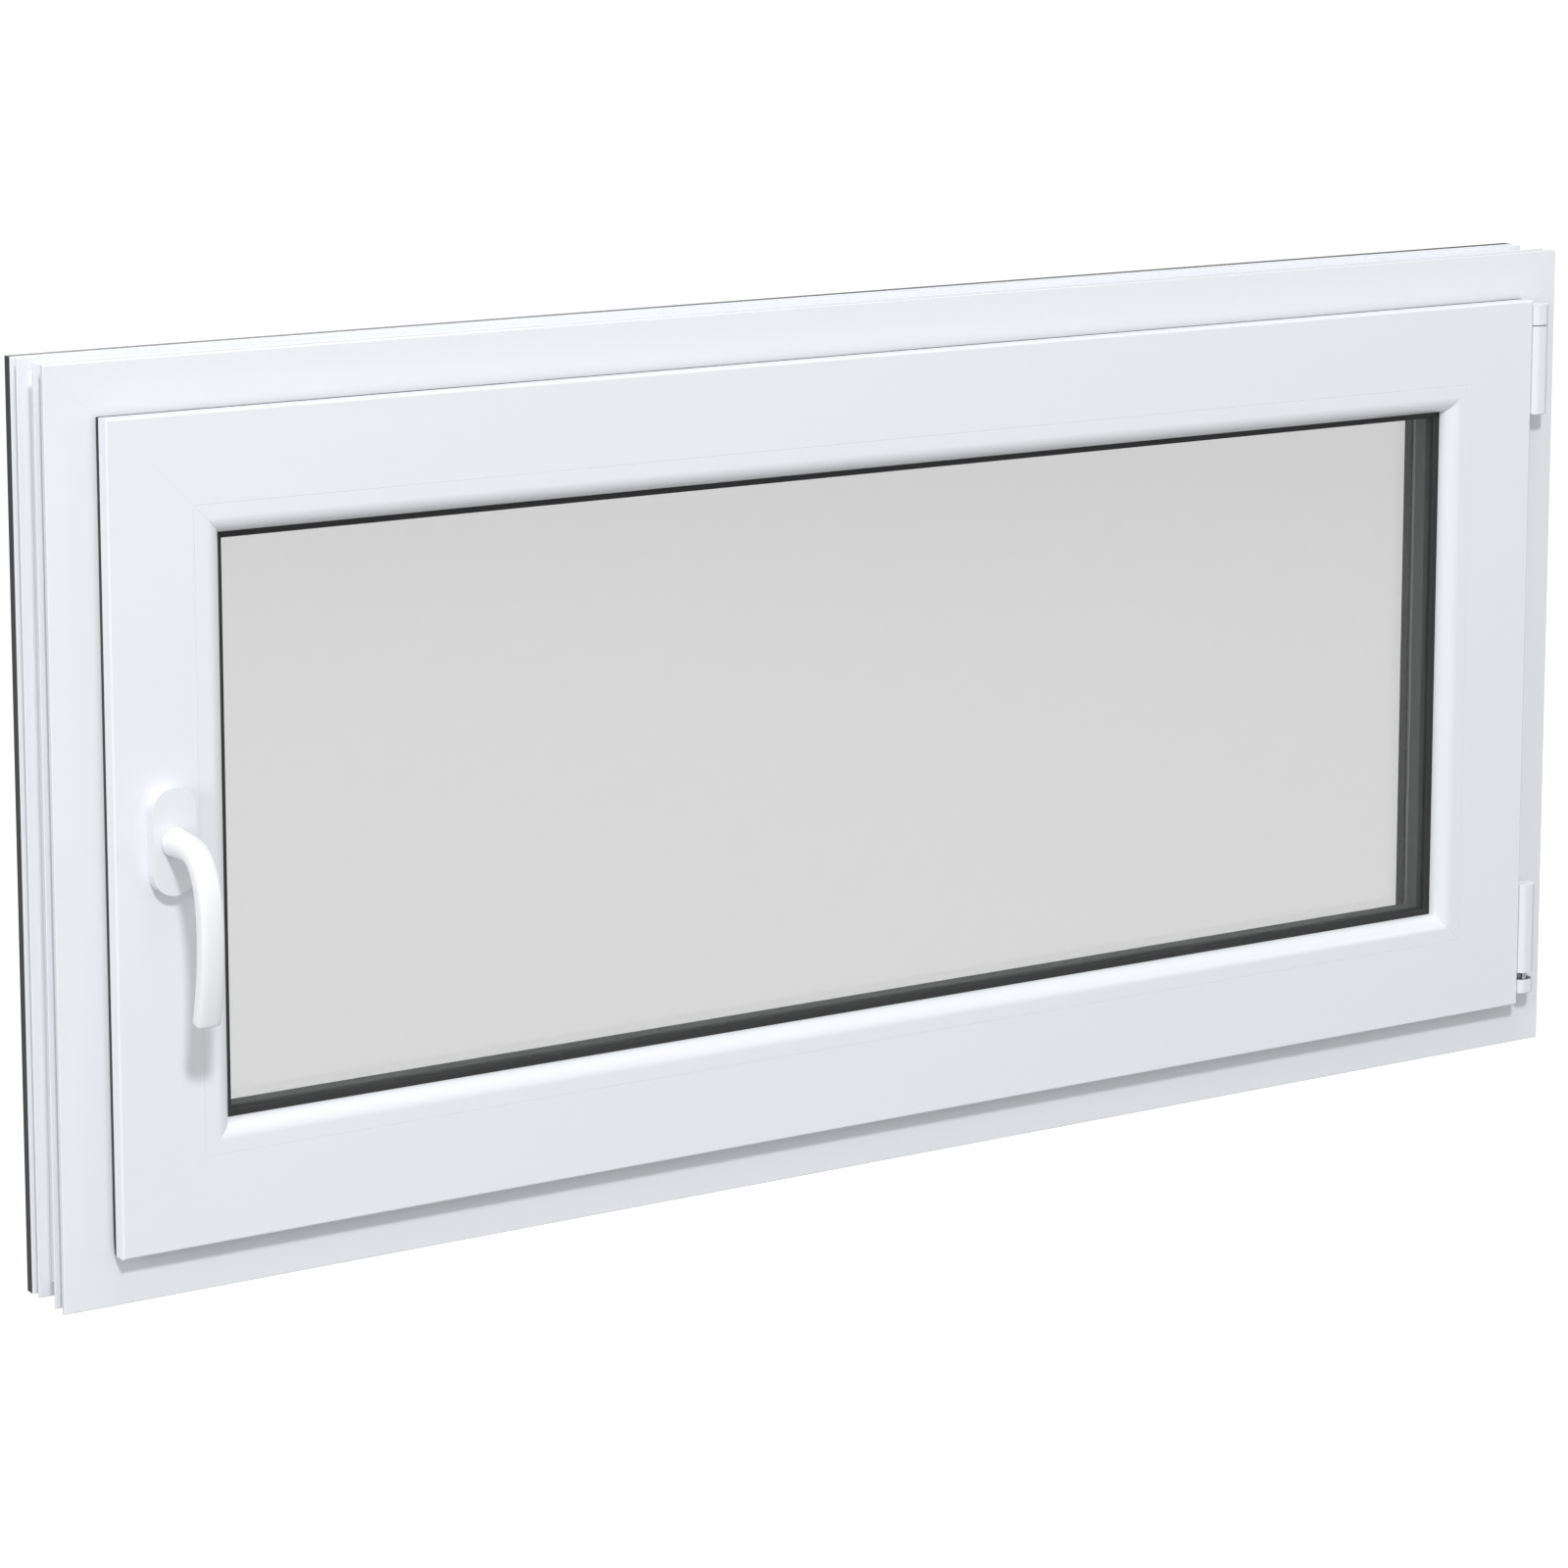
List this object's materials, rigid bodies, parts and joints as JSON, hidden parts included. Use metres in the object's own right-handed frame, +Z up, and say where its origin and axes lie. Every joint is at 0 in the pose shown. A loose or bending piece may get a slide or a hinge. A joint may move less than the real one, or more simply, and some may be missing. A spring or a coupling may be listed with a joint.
{
  "type": "casement window",
  "caption": "Tilt-and-turn casement window: white profile frame and sash, double glazing, lever handle, hinges and tilt stay, dark aluminium outside.",
  "frame": {"origin": "middle of the length of the sill's room-side edge, on its underside and half way through its thickness", "axes": "+X to the right seen from the room, +Y from the room to the outside, +Z up"},
  "size_m": [1.25, 0.147, 0.62],
  "materials": {
    "pvc": "smooth white PVC profile, slightly glossy",
    "cap_plastic": "white moulded plastic covers, satin",
    "handle_coat": "white powder coat, satin",
    "anthracite": "anthracite powder coat on aluminium, fine matt",
    "seal": "black rubber, matt",
    "spacer": "dark grey warm-edge spacer",
    "glass": "clear float glass",
    "steel": "zinc plated steel",
    "zinc": "die-cast zinc",
    "block": "moulded plastic glazing block"
  },
  "bodies": {
    "frame": {"frame_sill": "pvc", "frame_head": "pvc", "frame_jamb_lock": "pvc", "frame_jamb_hinge": "pvc", "frame_steel_sill": "steel", "frame_steel_head": "steel", "frame_cover": "anthracite", "frame_seal": "seal", "drain_cap_left": "anthracite", "drain_cap_right": "anthracite", "striker_side_lower": "zinc", "striker_side_upper": "zinc", "striker_top": "zinc", "striker_bottom_lock": "zinc", "striker_bottom_hinge": "zinc", "corner_bearing": "zinc", "corner_bearing_cap": "cap_plastic", "top_bearing": "steel", "top_bearing_cap": "cap_plastic", "top_hinge_pin": "steel"},
    "pivot_cup": {"pivot_cup": "zinc"},
    "handle": {"handle_lever": "handle_coat", "handle_spindle": "steel", "drive_pinion": "zinc"},
    "side_rod": {"lock_rod_side": "steel"},
    "top_rod": {"lock_rod_top": "steel"},
    "bottom_rod": {"lock_rod_bottom": "steel"},
    "stay": {"stay_arm": "steel", "stay_arm_cap": "cap_plastic"},
    "sash": {"sash_sill": "pvc", "sash_head": "pvc", "sash_stile_lock": "pvc", "sash_stile_hinge": "pvc", "bead_bottom": "pvc", "bead_top": "pvc", "bead_left": "pvc", "bead_right": "pvc", "handle_rosette": "cap_plastic", "sash_hinge_cap": "cap_plastic", "sash_cover": "anthracite", "sash_seal": "seal", "glazing_seal_inner": "seal", "glazing_seal_outer": "seal", "spacer_bar": "spacer", "pane_inner": "glass", "pane_outer": "glass", "sash_steel_sill": "steel", "sash_steel_head": "steel", "faceplate_side": "steel", "faceplate_top": "steel", "faceplate_bottom": "steel", "bottom_hinge_pin": "steel", "sash_hinge": "steel", "corner_drive_bottom": "zinc", "corner_drive_top": "zinc", "gearbox_case": "zinc", "setting_block_left": "block", "setting_block_right": "block"}
  },
  "joints": [
    {"name": "sash_turn", "type": "hinge", "parent": "frame", "child": "pivot_cup", "pos_m": [0.5995, -0.014, 0.049], "axis": [0, 0, 1], "range_deg": [0, 100]},
    {"name": "sash_tilt", "type": "hinge", "parent": "pivot_cup", "child": "sash", "pos_m": [0.5995, -0.014, 0.049], "axis": [1, 0, 0], "range_deg": [0, 12]},
    {"name": "handle_turn", "type": "hinge", "parent": "sash", "child": "handle", "pos_m": [-0.5525, -0.018, 0.31], "axis": [0, -1, 0], "range_deg": [0, 180]},
    {"name": "side_rod_slide", "type": "slide", "parent": "sash", "child": "side_rod", "axis": [0, 0, -1], "range_m": [0, 0.0361]},
    {"name": "top_rod_slide", "type": "slide", "parent": "sash", "child": "top_rod", "axis": [-1, 0, 0], "range_m": [0, 0.0361]},
    {"name": "bottom_rod_slide", "type": "slide", "parent": "sash", "child": "bottom_rod", "axis": [1, 0, 0], "range_m": [0, 0.0361]},
    {"name": "stay_swing", "type": "hinge", "parent": "pivot_cup", "child": "stay", "pos_m": [0.5995, -0.014, 0.57], "axis": [0, 0, 1], "range_deg": [0, 17.7]}
  ],
  "couplings": [
    {"joint": "side_rod_slide", "follows": "handle_turn", "m_per_rad": 0.011459},
    {"joint": "top_rod_slide", "follows": "handle_turn", "m_per_rad": 0.011459},
    {"joint": "bottom_rod_slide", "follows": "handle_turn", "m_per_rad": 0.011459},
    {"joint": "stay_swing", "follows": "sash_tilt", "ratio": 1.461}
  ]
}
